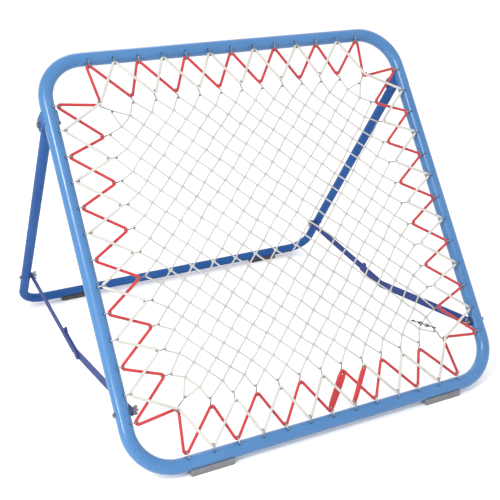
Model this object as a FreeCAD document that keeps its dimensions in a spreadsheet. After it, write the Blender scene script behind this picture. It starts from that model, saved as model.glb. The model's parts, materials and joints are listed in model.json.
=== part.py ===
import FreeCAD, Part
import math
import os

import Sketcher
from FreeCAD import Placement, Rotation, Vector

# Pitch back rebounder: a square net frame of bent steel tube, leaning on a U-shaped
# rear stand.  +X is to the object's left-to-right, +Y runs from the front bar to the
# rear bar and +Z is up.  The origin is on the floor, in the middle of the object's box.
# The frame's own axes are u (along X), v (up the slope) and n (towards the thrower).

doc = FreeCAD.newDocument("PitchBackRebounder")

DRIVING_SIZES = [
    ("outer_side", 1000, "outside of the square net frame"),
    ("tube_diameter", 34, "net frame tube"),
    ("tube_wall", 2, "net frame tube wall"),
    ("frame_bend", 100, "centreline radius of the frame's corners"),
    ("frame_slope", 55, "angle of the net frame from the floor"),
    ("bar_height", 25, "centre of the bottom bar above the floor"),
    ("pivot_up", 830, "stand pivot, up the frame from the bottom bar's centre"),
    ("pivot_behind", 36, "stand pivot, behind the side tube's centre"),
    ("stand_diameter", 26, "rear stand tube"),
    ("stand_wall", 1.5, "rear stand tube wall"),
    ("stand_bend", 60, "centreline radius of the stand's two corners"),
    ("stand_leg", 832, "pivot to the centre of the rear bar"),
    ("rear_bar_height", 21, "centre of the rear bar above the floor"),
    ("leg_overhang", 11, "leg above its pivot"),
    ("hook_pitch", 61.3, "between hook holes"),
    ("hook_hole", 4.5, "hook hole in the front wall of the tube"),
    ("hook_inset", 8, "hook holes, inside the tube's centreline"),
    ("hook_wire", 2.8, "wire of the hooks"),
    ("cord_inset", 22, "elastic's outermost bend, inside the tube's centreline"),
    ("ring_pitch", 57, "between net hooks"),
    ("ring_reach", 376, "elastic's innermost bend, from the frame's centre"),
    ("net_reach", 360.5, "net's border loops, from the frame's centre"),
    ("net_pitch", 54.6, "diagonal of one net diamond"),
    ("net_cord", 4, "net cord"),
    ("net_level", 12, "net, in front of the tube's centre plane"),
    ("red_cord", 7.5, "red elastic"),
    ("red_level", 9.5, "red elastic, in front of the tube's centre plane"),
    ("white_cord", 7, "white elastic"),
    ("white_level", 17.3, "white elastic, in front of the tube's centre plane"),
    ("ear_thickness", 3.5, "pivot ear plate"),
    ("ear_gap", 32, "between the two ears of one pivot"),
    ("ear_radius", 17, "round end of an ear"),
    ("pivot_bolt", 8, "pivot bolt"),
    ("stay_bolt", 6, "bolt of a stay"),
    ("running_fit", 0.05, "radial clearance of a bolt in its hole"),
    ("stay_length", 424, "between the two holes of one stay"),
    ("stay_front_up", 142, "front stay bolt, up the frame from the bottom bar's centre"),
    ("stay_rear_down", 690, "rear stay bolt, down the leg from the pivot"),
    ("stay_thickness", 3, "flat bar of the stays"),
    ("stay_washer", 2.4, "washer between a stay and its tube"),
    ("front_stay_width", 22, "front stay"),
    ("rear_stay_width", 20, "rear stay"),
    ("front_stay_tail", 105, "front stay past the middle rivet, beside the rear stay"),
    ("rear_stay_tail", 12, "rear stay past the middle rivet, before its round end"),
    ("stop_reach", 92, "stop pin from the middle rivet, along the front stay's tail"),
    ("foot_length", 105, "front foot along the bar"),
    ("foot_depth", 36, "front foot, front to back"),
    ("foot_top", 16, "front foot's saddle edge above the floor"),
    ("foot_place", 314, "front foot's middle, from the object's middle"),
    ("pad_length", 90, "rear pad along the bar"),
    ("pad_top", 14, "rear pad's saddle edge above the floor"),
    ("pad_place", 320, "rear pad's middle, from the object's middle"),
]
HOOKS_PER_SIDE = 13
RINGS_PER_SIDE = 11
NET_DIAMONDS = 13
SEAT = 0.02  # metal faces that bear on each other stand this far apart

sheet = doc.addObject("Spreadsheet::Sheet", "Sizes")
for row, (alias, value, note) in enumerate(DRIVING_SIZES, 1):
    sheet.set(f"A{row}", note)
    sheet.set(f"B{row}", str(value))
    sheet.setAlias(f"B{row}", alias)
doc.recompute()


def size(alias):
    return float(getattr(sheet, alias))


def cosd(angle):
    return math.cos(math.radians(angle))


def sind(angle):
    return math.sin(math.radians(angle))


HALF_SIDE = "(Sizes.outer_side - Sizes.tube_diameter) / 2"
half_side = (size("outer_side") - size("tube_diameter")) / 2
slope = size("frame_slope")
tube_radius = size("tube_diameter") / 2
stand_radius = size("stand_diameter") / 2
wire_radius = size("hook_wire") / 2
bolt_bore = size("stay_bolt") / 2 + size("running_fit")

# Heights and depths are first counted from the bottom bar, then moved so that the
# origin is in the middle of the whole object's box.
pivot_height = (size("bar_height") + size("pivot_up") * sind(slope)
                - size("pivot_behind") * cosd(slope))
pivot_depth = size("pivot_up") * cosd(slope) + size("pivot_behind") * sind(slope)
leg_angle = math.degrees(math.asin((pivot_height - size("rear_bar_height")) / size("stand_leg")))
rear_bar_depth = pivot_depth + size("stand_leg") * cosd(leg_angle)
front_edge = -size("foot_depth") / 2
rear_edge = rear_bar_depth + stand_radius
bottom_bar_y = -(front_edge + rear_edge) / 2

frame_centre = Vector(0, bottom_bar_y + half_side * cosd(slope),
                      size("bar_height") + half_side * sind(slope))
FRAME_PLACE = Placement(frame_centre, Rotation(Vector(1, 0, 0), slope))
pivot = Vector(0, bottom_bar_y + pivot_depth, pivot_height)
STAND_PLACE = Placement(pivot, Rotation(Vector(1, 0, 0), -leg_angle))
front_hinge = FRAME_PLACE.multVec(Vector(0, size("stay_front_up") - half_side, 0))
rear_hinge = STAND_PLACE.multVec(Vector(0, size("stay_rear_down"), 0))

# Layers outwards from the object's middle: front stay, rear stay, then the leg.
tube_inner_face = half_side - tube_radius
WASHER_PLAY = 0.1  # left over beside each washer, so that the stays turn freely
stay_inset = size("stay_washer") + WASHER_PLAY + size("stay_thickness")
front_stay_layer = tube_inner_face - stay_inset
rear_stay_layer = half_side - stand_radius - stay_inset
shear_plane = (front_stay_layer + size("stay_thickness") + rear_stay_layer) / 2

parts = []


def register(piece, label, placement=None):
    """Every sub-part has its own label, which is also its file's name."""
    piece.Label = label
    if placement is not None:
        piece.Placement = placement
    parts.append(piece)
    return piece


# ---------------------------------------------------------------- sketch helpers

def new_body(label, placement):
    body = doc.addObject("PartDesign::Body", label)
    return register(body, label, placement)


def new_sketch(body, name, role, offset=None):
    sketch = body.newObject("Sketcher::SketchObject", name)
    plane = next(f for f in body.Origin.OriginFeatures if f.Role == role)
    sketch.AttachmentSupport = (plane, [""])
    sketch.MapMode = "FlatFace"
    if offset is not None:
        sketch.setExpression("AttachmentOffset.Base.z", offset)
    return sketch


def bind(sketch, constraint, expression):
    index = sketch.addConstraint(constraint)
    sketch.setExpression(f"Constraints[{index}]", expression)


def locate(sketch, geometry, point, across, up):
    """Fixes a point at signed distances from the sketch's origin.

    across and up are (value, expression of its magnitude); a value of 0 is on the axis.
    """
    for kind, axis, (value, expression) in (("DistanceX", -2, across), ("DistanceY", -1, up)):
        if abs(value) < 1e-9:
            sketch.addConstraint(Sketcher.Constraint("PointOnObject", geometry, point, axis))
        elif value > 0:
            bind(sketch, Sketcher.Constraint(kind, -1, 1, geometry, point, value), expression)
        else:
            bind(sketch, Sketcher.Constraint(kind, geometry, point, -1, 1, -value), expression)


def add_circle(sketch, across, up, radius, radius_expression):
    centre = Vector(across[0], up[0], 0)
    index = sketch.addGeometry(Part.Circle(centre, Vector(0, 0, 1), radius), False)
    locate(sketch, index, 3, across, up)
    bind(sketch, Sketcher.Constraint("Radius", index, radius), radius_expression)


def add_slot(sketch, start, end, radius, radius_expression, end_expression, start_expression="0"):
    """A bar with two round ends on the sketch's X axis, from start to end."""
    axis_z = Vector(0, 0, 1)
    right = Part.Circle(Vector(end, 0, 0), axis_z, radius)
    left = Part.Circle(Vector(start, 0, 0), axis_z, radius)
    geometry = [
        Part.ArcOfCircle(right, -math.pi / 2, math.pi / 2),
        Part.LineSegment(Vector(end, radius, 0), Vector(start, radius, 0)),
        Part.ArcOfCircle(left, math.pi / 2, 3 * math.pi / 2),
        Part.LineSegment(Vector(start, -radius, 0), Vector(end, -radius, 0)),
    ]
    first = sketch.addGeometry(geometry, False)[0]
    for step, (point_a, point_b) in enumerate(((2, 1), (2, 1), (2, 1), (2, 1))):
        here = first + step
        following = first + (step + 1) % len(geometry)
        sketch.addConstraint(Sketcher.Constraint("Tangent", here, point_a, following, point_b))
    locate(sketch, first, 3, (end, end_expression), (0, "0"))
    locate(sketch, first + 2, 3, (start, start_expression), (0, "0"))
    bind(sketch, Sketcher.Constraint("Radius", first, radius), radius_expression)


def pad(body, name, sketch, length, reverse=False):
    feature = body.newObject("PartDesign::Pad", name)
    feature.Profile = sketch
    feature.setExpression("Length", length)
    feature.Reversed = reverse
    doc.recompute()
    return feature


def cut_through(body, name, sketch, length=None, reverse=False):
    """Pockets a sketch and makes sure that it removed something."""
    before = body.Shape.Volume
    feature = body.newObject("PartDesign::Pocket", name)
    feature.Profile = sketch
    if length is None:
        feature.Type = "ThroughAll"
        feature.Midplane = True
    else:
        feature.setExpression("Length", length)
        feature.Reversed = reverse
    doc.recompute()
    if body.Shape.Volume > before - 1:
        raise RuntimeError(f"{name} removed nothing from {body.Label}")
    return feature


def pipe(body, name, kind, path, profile):
    feature = body.newObject(f"PartDesign::{kind}Pipe", name)
    feature.Profile = (profile, [""])
    feature.Spine = (path, [""])
    doc.recompute()
    return feature


def line(start, end):
    return Part.LineSegment(Vector(*start, 0), Vector(*end, 0))


def bend(centre, radius, start_angle, end_angle):
    circle = Part.Circle(Vector(*centre, 0), Vector(0, 0, 1), radius)
    return Part.ArcOfCircle(circle, math.radians(start_angle), math.radians(end_angle))


# ---------------------------------------------------------------- the bent tubes

def make_front_frame():
    """The square tube loop, with its hook holes and the holes of the stay bolts."""
    body = new_body("front_frame", FRAME_PLACE)
    radius = size("frame_bend")
    side, inner = half_side, half_side - radius
    path = new_sketch(body, "frame_path", "XY_Plane")
    path.addGeometry([
        line((0, -side), (inner, -side)),
        bend((inner, -inner), radius, 270, 360),
        line((side, -inner), (side, inner)),
        bend((inner, inner), radius, 0, 90),
        line((inner, side), (-inner, side)),
        bend((-inner, inner), radius, 90, 180),
        line((-side, inner), (-side, -inner)),
        bend((-inner, -inner), radius, 180, 270),
        line((-inner, -side), (0, -side)),
    ], False)
    for edge in range(8):
        path.addConstraint(Sketcher.Constraint("Tangent", edge, 2, edge + 1, 1))
    path.addConstraint(Sketcher.Constraint("Coincident", 8, 2, 0, 1))
    for edge in (0, 4, 8):
        path.addConstraint(Sketcher.Constraint("Horizontal", edge))
    for edge in (2, 6):
        path.addConstraint(Sketcher.Constraint("Vertical", edge))
    for edge in (3, 5, 7):
        path.addConstraint(Sketcher.Constraint("Equal", 1, edge))
    path.addConstraint(Sketcher.Constraint("PointOnObject", 0, 1, -2))
    bind(path, Sketcher.Constraint("Radius", 1, radius), "Sizes.frame_bend")
    bind(path, Sketcher.Constraint("DistanceX", -1, 1, 2, 1, side), HALF_SIDE)
    bind(path, Sketcher.Constraint("DistanceX", 6, 1, -1, 1, side), HALF_SIDE)
    bind(path, Sketcher.Constraint("DistanceY", -1, 1, 4, 1, side), HALF_SIDE)
    bind(path, Sketcher.Constraint("DistanceY", 0, 1, -1, 1, side), HALF_SIDE)
    wall = new_sketch(body, "frame_section", "YZ_Plane")
    add_circle(wall, (-side, HALF_SIDE), (0, "0"), tube_radius, "Sizes.tube_diameter / 2")
    bore = new_sketch(body, "frame_bore", "YZ_Plane")
    add_circle(bore, (-side, HALF_SIDE), (0, "0"), tube_radius - size("tube_wall"),
               "Sizes.tube_diameter / 2 - Sizes.tube_wall")
    doc.recompute()
    pipe(body, "frame_tube", "Additive", path, wall)
    pipe(body, "frame_hollow", "Subtractive", path, bore)

    holes = new_sketch(body, "hook_holes", "XY_Plane")
    for step in range(HOOKS_PER_SIDE):
        count = step - HOOKS_PER_SIDE // 2
        along = (count * size("hook_pitch"), f"{abs(count)} * Sizes.hook_pitch")
        for sign in (1, -1):
            across = (sign * (side - size("hook_inset")), f"{HALF_SIDE} - Sizes.hook_inset")
            add_circle(holes, along, across, size("hook_hole") / 2, "Sizes.hook_hole / 2")
            add_circle(holes, across, along, size("hook_hole") / 2, "Sizes.hook_hole / 2")
    cut_through(body, "hook_hole_pocket", holes, "Sizes.tube_diameter", reverse=True)

    bolt_holes = new_sketch(body, "stay_bolt_holes", "YZ_Plane")
    add_circle(bolt_holes, (size("stay_front_up") - side, f"{HALF_SIDE} - Sizes.stay_front_up"),
               (0, "0"), bolt_bore, "Sizes.stay_bolt / 2 + Sizes.running_fit")
    cut_through(body, "stay_bolt_pocket", bolt_holes)


def make_rear_stand():
    """The U-shaped stand: two legs and the rear bar in one bent tube."""
    body = new_body("rear_stand", STAND_PLACE)
    radius, reach, top = size("stand_bend"), size("stand_leg"), -size("leg_overhang")
    side, inner = half_side, half_side - size("stand_bend")
    path = new_sketch(body, "stand_path", "XY_Plane")
    path.addGeometry([
        line((-side, top), (-side, reach - radius)),
        bend((-inner, reach - radius), radius, 90, 180),
        line((-inner, reach), (inner, reach)),
        bend((inner, reach - radius), radius, 0, 90),
        line((side, reach - radius), (side, top)),
    ], False)
    joints = (((0, 2), (1, 2)), ((1, 1), (2, 1)), ((2, 2), (3, 2)), ((3, 1), (4, 1)))
    for (edge_a, end_a), (edge_b, end_b) in joints:
        path.addConstraint(Sketcher.Constraint("Tangent", edge_a, end_a, edge_b, end_b))
    path.addConstraint(Sketcher.Constraint("Equal", 1, 3))
    path.addConstraint(Sketcher.Constraint("Vertical", 0))
    path.addConstraint(Sketcher.Constraint("Vertical", 4))
    path.addConstraint(Sketcher.Constraint("Horizontal", 2))
    bind(path, Sketcher.Constraint("Radius", 1, radius), "Sizes.stand_bend")
    bind(path, Sketcher.Constraint("DistanceY", -1, 1, 2, 1, reach), "Sizes.stand_leg")
    locate(path, 0, 1, (-side, HALF_SIDE), (top, "Sizes.leg_overhang"))
    locate(path, 4, 2, (side, HALF_SIDE), (top, "Sizes.leg_overhang"))
    wall = new_sketch(body, "stand_section", "XZ_Plane", "Sizes.leg_overhang")
    add_circle(wall, (-side, HALF_SIDE), (0, "0"), stand_radius, "Sizes.stand_diameter / 2")
    bore = new_sketch(body, "stand_bore", "XZ_Plane", "Sizes.leg_overhang")
    add_circle(bore, (-side, HALF_SIDE), (0, "0"), stand_radius - size("stand_wall"),
               "Sizes.stand_diameter / 2 - Sizes.stand_wall")
    doc.recompute()
    pipe(body, "stand_tube", "Additive", path, wall)
    pipe(body, "stand_hollow", "Subtractive", path, bore)

    pivot_holes = new_sketch(body, "pivot_holes", "YZ_Plane")
    add_circle(pivot_holes, (0, "0"), (0, "0"), size("pivot_bolt") / 2 + size("running_fit"),
               "Sizes.pivot_bolt / 2 + Sizes.running_fit")
    cut_through(body, "pivot_pocket", pivot_holes)
    stay_holes = new_sketch(body, "leg_bolt_holes", "YZ_Plane")
    add_circle(stay_holes, (size("stay_rear_down"), "Sizes.stay_rear_down"), (0, "0"), bolt_bore,
               "Sizes.stay_bolt / 2 + Sizes.running_fit")
    cut_through(body, "leg_bolt_pocket", stay_holes)


# ---------------------------------------------------------------- pivot ears and feet

def make_ear(label, side, outward):
    """A plate welded beside the side tube, rounded round the pivot bolt behind it."""
    body = new_body(label, FRAME_PLACE)
    gap, thickness = "Sizes.ear_gap / 2", "Sizes.ear_thickness"
    sign = "" if side > 0 else "-"
    start = f"{gap}" if side * outward > 0 else f"-({gap}) - {thickness}"
    outline = new_sketch(body, f"{label}_outline", "YZ_Plane", f"{sign}({HALF_SIDE}) + ({start})")
    radius, behind, front = size("ear_radius"), -size("pivot_behind"), 3
    height = size("pivot_up") - half_side
    height_expression = f"Sizes.pivot_up - {HALF_SIDE}"
    low, high = height - radius, height + radius
    outline.addGeometry([
        line((high, behind), (high, front)),
        line((high, front), (low, front)),
        line((low, front), (low, behind)),
        bend((height, behind), radius, 180, 360),
    ], False)
    for edge in range(2):
        outline.addConstraint(Sketcher.Constraint("Coincident", edge, 2, edge + 1, 1))
    outline.addConstraint(Sketcher.Constraint("Tangent", 2, 2, 3, 1))
    outline.addConstraint(Sketcher.Constraint("Tangent", 3, 2, 0, 1))
    outline.addConstraint(Sketcher.Constraint("Horizontal", 1))
    outline.addConstraint(Sketcher.Constraint("Vertical", 0))
    outline.addConstraint(Sketcher.Constraint("DistanceY", -1, 1, 1, 1, front))
    bind(outline, Sketcher.Constraint("Radius", 3, radius), "Sizes.ear_radius")
    locate(outline, 3, 3, (height, height_expression), (behind, "Sizes.pivot_behind"))
    pad(body, f"{label}_plate", outline, thickness)
    hole = new_sketch(body, f"{label}_hole", "YZ_Plane")
    add_circle(hole, (height, height_expression), (behind, "Sizes.pivot_behind"),
               size("pivot_bolt") / 2 + size("running_fit"), "Sizes.pivot_bolt / 2 + Sizes.running_fit")
    cut_through(body, f"{label}_hole_pocket", hole)
    saddle = new_sketch(body, f"{label}_saddle", "XZ_Plane")
    add_circle(saddle, (side * half_side, HALF_SIDE), (0, "0"), tube_radius + SEAT,
               f"Sizes.tube_diameter / 2 + {SEAT}")
    cut_through(body, f"{label}_saddle_pocket", saddle)


def make_foot(label, middle, bar, bar_radius, length, depth, top):
    """A block that cradles the lower half of a bar; every size is an expression."""
    place = Placement(Vector(middle, bar.y, 0), Rotation())
    block = doc.addObject("Part::Box", f"{label}_block")
    block.setExpression("Length", length)
    block.setExpression("Width", depth)
    block.setExpression("Height", top)
    block.setExpression("Placement.Base.x", f"-({length}) / 2")
    block.setExpression("Placement.Base.y", f"-({depth}) / 2")
    doc.recompute()
    rounded = doc.addObject("Part::Fillet", f"{label}_rounded")
    rounded.Base = block
    upright = [index for index, edge in enumerate(block.Shape.Edges, 1)
               if abs(edge.Vertexes[0].Z - edge.Vertexes[-1].Z) > 1]
    rounded.Edges = [(index, 4, 4) for index in upright]
    groove = doc.addObject("Part::Cylinder", f"{label}_groove")
    groove.setExpression("Radius", f"{bar_radius} + {SEAT}")
    groove.setExpression("Height", f"{length} + 20")
    groove.Placement = Placement(Vector(-size("outer_side") / 4, 0, bar.z),
                                 Rotation(Vector(0, 0, 1), Vector(1, 0, 0)))
    groove.setExpression("Placement.Base.x", f"-({length}) / 2 - 10")
    foot = doc.addObject("Part::Cut", label)
    foot.Base, foot.Tool = rounded, groove
    register(foot, label, place)


def make_leg_plug(label, side):
    """The plastic cap in a leg's open top end."""
    body = new_body(label, STAND_PLACE)
    start = f"-(Sizes.leg_overhang) - {SEAT}"
    rim = new_sketch(body, f"{label}_rim", "XZ_Plane", f"-({start})")
    across = (side * half_side, HALF_SIDE)
    add_circle(rim, across, (0, "0"), stand_radius, "Sizes.stand_diameter / 2")
    pad(body, f"{label}_cap", rim, "1.4")
    stem = new_sketch(body, f"{label}_stem", "XZ_Plane", f"-({start})")
    add_circle(stem, across, (0, "0"), stand_radius - size("stand_wall") - 0.1,
               "Sizes.stand_diameter / 2 - Sizes.stand_wall - 0.1")
    pad(body, f"{label}_insert", stem, "6", reverse=True)


# ---------------------------------------------------------------- stays

def turned(direction):
    """A flat bar's axes: its length along direction, its thickness along +X."""
    return Rotation(direction, Vector(1, 0, 0).cross(direction), Vector(1, 0, 0), "ZXY")


def middle_rivet_place():
    """The two stays meet below the line between their hinges, past dead centre."""
    span = rear_hinge - front_hinge
    drop = math.sqrt(size("stay_length") ** 2 - (span.Length / 2) ** 2)
    down = Vector(1, 0, 0).cross(span).normalize() * -1
    return front_hinge + span * 0.5 + down * drop


rivet = middle_rivet_place()


def make_stay(label, hinge, layer, side, width, tail):
    direction = (rivet - hinge).normalize()
    inner_face = layer if side > 0 else -layer - size("stay_thickness")
    place = Placement(Vector(inner_face, hinge.y, hinge.z), turned(direction))
    body = new_body(label, place)
    outline = new_sketch(body, f"{label}_outline", "XY_Plane")
    add_slot(outline, 0, size("stay_length") + tail[0], size(width) / 2, f"Sizes.{width} / 2",
             f"Sizes.stay_length + {tail[1]}")
    for middle in ((0, "0"), (size("stay_length"), "Sizes.stay_length")):
        add_circle(outline, middle, (0, "0"), bolt_bore, "Sizes.stay_bolt / 2 + Sizes.running_fit")
    pad(body, f"{label}_bar", outline, "Sizes.stay_thickness")
    return body


def add_bent_tail(body, label, side):
    """The front stay's tail bends at the rivet to lie beside the rear stay.

    A round ear near its end carries the stop pin, just above the rear stay's top edge.
    """
    along = (rivet - front_hinge).normalize()
    rear_along = (rear_hinge - rivet).normalize()
    opening = math.degrees(math.acos(along.dot(rear_along)))
    ear_radius, pin_radius = 9.0, 3.5
    pin_height = size("rear_stay_width") / 2 + pin_radius + 0.4
    sketches = []
    for name in ("tail", "stop_ear", "stop"):
        sketch = new_sketch(body, f"{label}_{name}", "XY_Plane")
        sketch.AttachmentOffset = Placement(Vector(size("stay_length"), 0, 0),
                                            Rotation(Vector(0, 0, 1), opening))
        sketch.setExpression("AttachmentOffset.Base.x", "Sizes.stay_length")
        sketches.append(sketch)
    tail, ear, stop = sketches
    add_slot(tail, 0, size("front_stay_tail"), size("front_stay_width") / 2,
             "Sizes.front_stay_width / 2", "Sizes.front_stay_tail")
    add_circle(tail, (0, "0"), (0, "0"), bolt_bore, "Sizes.stay_bolt / 2 + Sizes.running_fit")
    pad(body, f"{label}_tail_bar", tail, "Sizes.stay_thickness")
    pin_expression = f"Sizes.rear_stay_width / 2 + {pin_radius + 0.4}"
    for sketch, radius in ((ear, ear_radius), (stop, pin_radius)):
        add_circle(sketch, (size("stop_reach"), "Sizes.stop_reach"), (pin_height, pin_expression),
                   radius, str(radius))
    pad(body, f"{label}_stop_ear_plate", ear, "Sizes.stay_thickness")
    if side > 0:
        pad(body, f"{label}_stop_pin", stop, "2 * Sizes.stay_thickness + 1")
    else:
        pad(body, f"{label}_stop_pin", stop, "Sizes.stay_thickness + 1", reverse=True)


# ---------------------------------------------------------------- fasteners

def outward(side, reach, centre):
    """Where a fastener's base goes: its axis points away from the object's middle."""
    return Placement(Vector(side * reach, centre.y, centre.z),
                     Rotation(Vector(0, 0, 1), Vector(side, 0, 0)))


def primitive(kind, name, placement=None, **sizes):
    piece = doc.addObject(f"Part::{kind}", name)
    for key, expression in sizes.items():
        piece.setExpression(key, expression)
    if placement is not None:
        piece.Placement = placement
    return piece


def fuse(name, pieces):
    joined = doc.addObject("Part::MultiFuse", name)
    joined.Shapes = pieces
    return joined


def cut(name, base, tool):
    result = doc.addObject("Part::Cut", name)
    result.Base, result.Tool = base, tool
    return result


def hex_bolt(name, diameter, across_flats, head_height, length):
    """Head below the origin, shank along -Z: the underside of the head is at z = 0."""
    corner = f"({across_flats}) / 2 / cos(30)"
    head = primitive("Prism", f"{name}_head", Circumradius=corner, Height=head_height)
    head.Polygon = 6
    dome = primitive("Cone", f"{name}_crown", Radius1=f"({across_flats}) / 2",
                     Radius2=f"({across_flats}) / 2 - 1.2", Height="0.8")
    dome.setExpression("Placement.Base.z", head_height)
    washer = primitive("Cylinder", f"{name}_flange", Radius=f"({across_flats}) / 2 + 1.5", Height="1.2")
    shank = primitive("Cylinder", f"{name}_shank", Radius=f"({diameter}) / 2", Height=length)
    shank.setExpression("Placement.Base.z", f"-({length})")
    return fuse(name, [head, dome, washer, shank])


def lock_nut(name, diameter, across_flats, height):
    corner = f"({across_flats}) / 2 / cos(30)"
    body = primitive("Prism", f"{name}_body", Circumradius=corner, Height=height)
    body.Polygon = 6
    collar = primitive("Cone", f"{name}_collar", Radius1=f"({across_flats}) / 2 - 0.4",
                       Radius2=f"({across_flats}) / 2 - 2.6", Height="4")
    collar.setExpression("Placement.Base.z", height)
    bore = primitive("Cylinder", f"{name}_bore", Radius=f"({diameter}) / 2 + Sizes.running_fit",
                     Height=f"{height} + 2")
    return cut(name, fuse(f"{name}_outside", [body, collar]), bore)


def washer(name, outer_radius, bore_radius, thickness):
    disc = primitive("Cylinder", f"{name}_disc", Radius=outer_radius, Height=thickness)
    bore = primitive("Cylinder", f"{name}_bore", Radius=bore_radius, Height=thickness)
    return cut(name, disc, bore)


def wing_nut(name):
    """A tapered hub with two round wings, threaded on a stay bolt."""
    hub = primitive("Cone", f"{name}_hub", Radius1="5.4", Radius2="4.3", Height="7")
    pieces = [hub]
    for turn in (0, 180):
        spin = Rotation(Vector(0, 0, 1), turn)
        level = Rotation(Vector(1, 0, 0), 90)
        wing = primitive("Cylinder", f"{name}_wing_{turn}", Radius="4.2", Height="2")
        wing.Placement = Placement(spin.multVec(Vector(8.6, 1, 8)), spin * level)
        arm = primitive("Box", f"{name}_arm_{turn}", Length="8", Width="2", Height="6.5")
        arm.Placement = Placement(spin.multVec(Vector(3, -1, 1.2)), spin)
        pieces += [wing, arm]
    bore = primitive("Cylinder", f"{name}_bore", Radius="Sizes.stay_bolt / 2 + Sizes.running_fit",
                     Height="20")
    return cut(name, fuse(f"{name}_outside", pieces), bore)


def group(label, shapes, placement=None):
    """Identical pieces that share one node, as separate solids."""
    node = doc.addObject("Part::Feature", label)
    shape = shapes[0] if len(shapes) == 1 else Part.makeCompound(shapes)
    node.Shape = shape
    register(node, label, (placement or Placement()).multiply(shape.Placement))


def placed(prototype, placement):
    shape = prototype.Shape.copy()
    shape.Placement = placement.multiply(shape.Placement)
    return shape


def make_fasteners():
    ear_outside = half_side + size("ear_gap") / 2 + size("ear_thickness")
    ear_inside = half_side - size("ear_gap") / 2 - size("ear_thickness")
    nut_height = 7
    pivot_bolt = hex_bolt("pivot_bolt_pattern", "Sizes.pivot_bolt", "13", "5.3",
                          "2 * Sizes.ear_thickness + Sizes.ear_gap + 8")
    pivot_nut = lock_nut("pivot_nut_pattern", "Sizes.pivot_bolt", "13", str(nut_height))
    spacer = washer("pivot_spacer_pattern", "8", "Sizes.pivot_bolt / 2 + Sizes.running_fit", "2.9")
    front_bolt = hex_bolt("front_stay_bolt_pattern", "Sizes.stay_bolt", "10", "4",
                          "Sizes.tube_diameter + Sizes.stay_thickness + Sizes.stay_washer + 14")
    rear_bolt = hex_bolt("rear_stay_bolt_pattern", "Sizes.stay_bolt", "10", "4",
                         "Sizes.stand_diameter + Sizes.stay_thickness + Sizes.stay_washer + 14")
    nut = wing_nut("wing_nut_pattern")
    stay_washer = washer("stay_washer_pattern", "7", "Sizes.stay_bolt / 2 + Sizes.running_fit",
                         "Sizes.stay_washer")
    rivet_head = primitive("Cylinder", "rivet_head", Radius="5.5", Height="1.8")
    rivet_shank = primitive("Cylinder", "rivet_shank", Radius="Sizes.stay_bolt / 2",
                            Height="Sizes.stay_thickness + 0.4")
    rivet_shank.setExpression("Placement.Base.z", "-(Sizes.stay_thickness + 0.4)")
    half_rivet = fuse("rivet_pattern", [rivet_head, rivet_shank])
    doc.recompute()

    sides = ((-1, "left"), (1, "right"))
    group("pivot_bolts", [placed(pivot_bolt, outward(s, ear_outside + SEAT, pivot)) for s, _ in sides])
    group("pivot_nuts", [placed(pivot_nut, outward(-s, -(ear_inside - SEAT), pivot)) for s, _ in sides])
    gaps = (half_side + stand_radius + 0.05, half_side - size("ear_gap") / 2 + 0.05)
    group("pivot_spacers", [placed(spacer, outward(s, reach, pivot)) for s, _ in sides for reach in gaps])
    group("front_stay_bolts", [placed(front_bolt, outward(s, half_side + tube_radius + SEAT, front_hinge))
                               for s, _ in sides])
    group("rear_stay_bolts", [placed(rear_bolt, outward(s, half_side + stand_radius + SEAT, rear_hinge))
                              for s, _ in sides])
    beside_stay = size("stay_thickness") + WASHER_PLAY / 2
    group("front_stay_washers", [placed(stay_washer, outward(s, front_stay_layer + beside_stay, front_hinge))
                                 for s, _ in sides])
    group("rear_stay_washers", [placed(stay_washer, outward(s, rear_stay_layer + beside_stay, rear_hinge))
                                for s, _ in sides])
    for side, name in sides:
        group(f"{name}_front_wing_nut",
              [placed(nut, outward(-side, -(front_stay_layer - 0.3), front_hinge))])
        group(f"{name}_rear_wing_nut",
              [placed(nut, outward(-side, -(rear_stay_layer - 0.3), rear_hinge))])
        group(f"{name}_front_stay_rivet",
              [placed(half_rivet, outward(-side, -(front_stay_layer - SEAT), rivet))])
        group(f"{name}_rear_stay_rivet",
              [placed(half_rivet, outward(side, rear_stay_layer + size("stay_thickness") + SEAT, rivet))])


# ---------------------------------------------------------------- hooks of bent wire

def tangent_angle(centre_a, turn_a, centre_b, turn_b):
    """Direction of the straight run between two round bends.

    A turn is the bend's radius, positive when the run turns clockwise round the centre.
    """
    across = centre_b - centre_a
    return math.atan2(across.y, across.x) - math.asin((turn_a - turn_b) / across.Length)


def bend_point(centre, turn, angle):
    return centre + Vector(-math.sin(angle), math.cos(angle), 0) * turn


def wrapped_path(bends, start_angle, end_angle):
    """Tangent arcs and straight runs round a list of (centre, turn), in the XY plane."""
    angles = [start_angle]
    for (centre_a, turn_a), (centre_b, turn_b) in zip(bends, bends[1:]):
        angles.append(tangent_angle(centre_a, turn_a, centre_b, turn_b))
    angles.append(end_angle)
    edges, last = [], None
    for (centre, turn), come, go in zip(bends, angles, angles[1:]):
        swing = (go - come) % (2 * math.pi)
        if turn > 0:
            swing -= 2 * math.pi
        entry, leave = bend_point(centre, turn, come), bend_point(centre, turn, come + swing)
        middle = bend_point(centre, turn, come + swing / 2)
        if last is not None:
            edges.append(Part.LineSegment(last, entry).toShape())
        edges.append(Part.Arc(entry, middle, leave).toShape())
        last = leave
    return Part.Wire(edges)


def rod(path, diameter):
    """A round rod along a path of tangent runs and arcs."""
    start = path.Edges[0].valueAt(path.Edges[0].FirstParameter)
    heading = path.Edges[0].tangentAt(path.Edges[0].FirstParameter)
    section = Part.Wire(Part.Circle(start, heading, diameter / 2).toShape())
    solid = path.makePipeShell([section], True, False)
    expected = math.pi * diameter ** 2 / 4 * path.Length
    if abs(solid.Volume / expected - 1) > 0.01:
        raise RuntimeError(f"rod volume is off: {solid.Volume} for {expected}")
    return solid


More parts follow.
